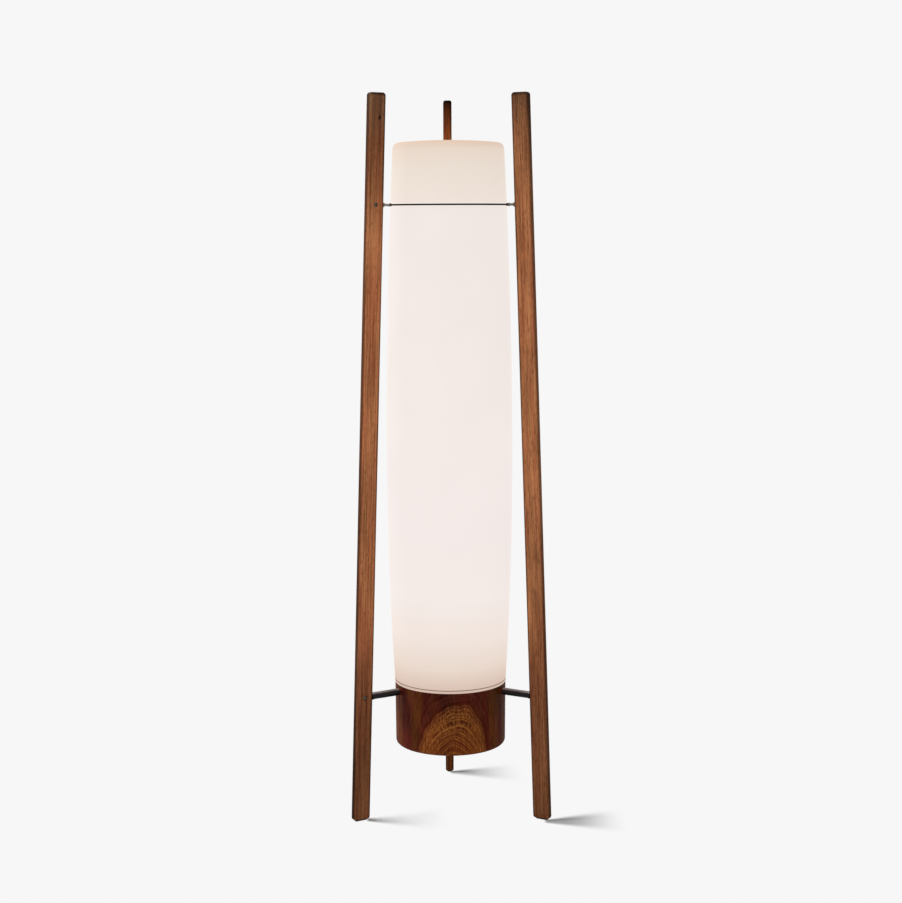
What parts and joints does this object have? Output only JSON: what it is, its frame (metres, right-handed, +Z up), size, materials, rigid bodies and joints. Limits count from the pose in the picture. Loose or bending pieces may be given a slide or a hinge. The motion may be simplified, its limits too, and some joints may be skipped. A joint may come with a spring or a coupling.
{
  "type": "andon floor lamp",
  "caption": "Tall floor lamp with an opal shade in a turned wooden cup, held by steel rods and a thin ring between leaning wooden boards.",
  "frame": {"origin": "on the floor, on the lamp's upright axis", "axes": "+Z up; the camera side of the lamp, between the two front boards, is -Y; +X is to the right in the picture"},
  "size_m": [0.3348, 0.3031, 1.2],
  "materials": {
    "walnut_board": "oiled satin",
    "walnut_turned": "oiled satin",
    "opal_shade": "satin, translucent",
    "dark_steel": "satin",
    "screw_steel": "satin",
    "brass": "satin",
    "aluminium": "satin",
    "felt": "felted",
    "light_strip": "satin",
    "white_plastic": "satin",
    "black_plastic": "satin",
    "rubber": "matt"
  },
  "bodies": {
    "stand": {"leg_back": "walnut_board", "leg_left": "walnut_board", "leg_right": "walnut_board", "foot_pads": "felt", "base_cup": "walnut_turned", "rod_collars": "walnut_turned", "rod_inserts": "brass", "rod_back": "dark_steel", "rod_left": "dark_steel", "rod_right": "dark_steel", "lower_cross_screws": "screw_steel", "upper_ring": "dark_steel", "stub_back": "screw_steel", "stub_left": "screw_steel", "stub_right": "screw_steel", "upper_cross_screws": "screw_steel", "chassis_plate": "aluminium", "chassis_screws": "screw_steel", "column_foot": "aluminium", "column_foot_screws": "screw_steel", "column_set_screw": "screw_steel", "led_column": "aluminium", "led_strip_front": "light_strip", "led_strip_right": "light_strip", "led_strip_back": "light_strip", "led_strip_left": "light_strip", "column_cap": "black_plastic", "led_driver": "white_plastic", "driver_screws": "screw_steel", "terminal_block": "white_plastic", "terminal_screw": "screw_steel", "gland_body": "black_plastic", "gland_dome_nut": "black_plastic", "gland_seal": "rubber", "gland_locknut": "black_plastic", "led_lead": "rubber"},
    "shade": {"shade": "opal_shade"}
  },
  "joints": [
    {"name": "shade_lift", "type": "slide", "parent": "stand", "child": "shade", "axis": [0, 0, 1], "range_m": [0, 0.9]}
  ]
}
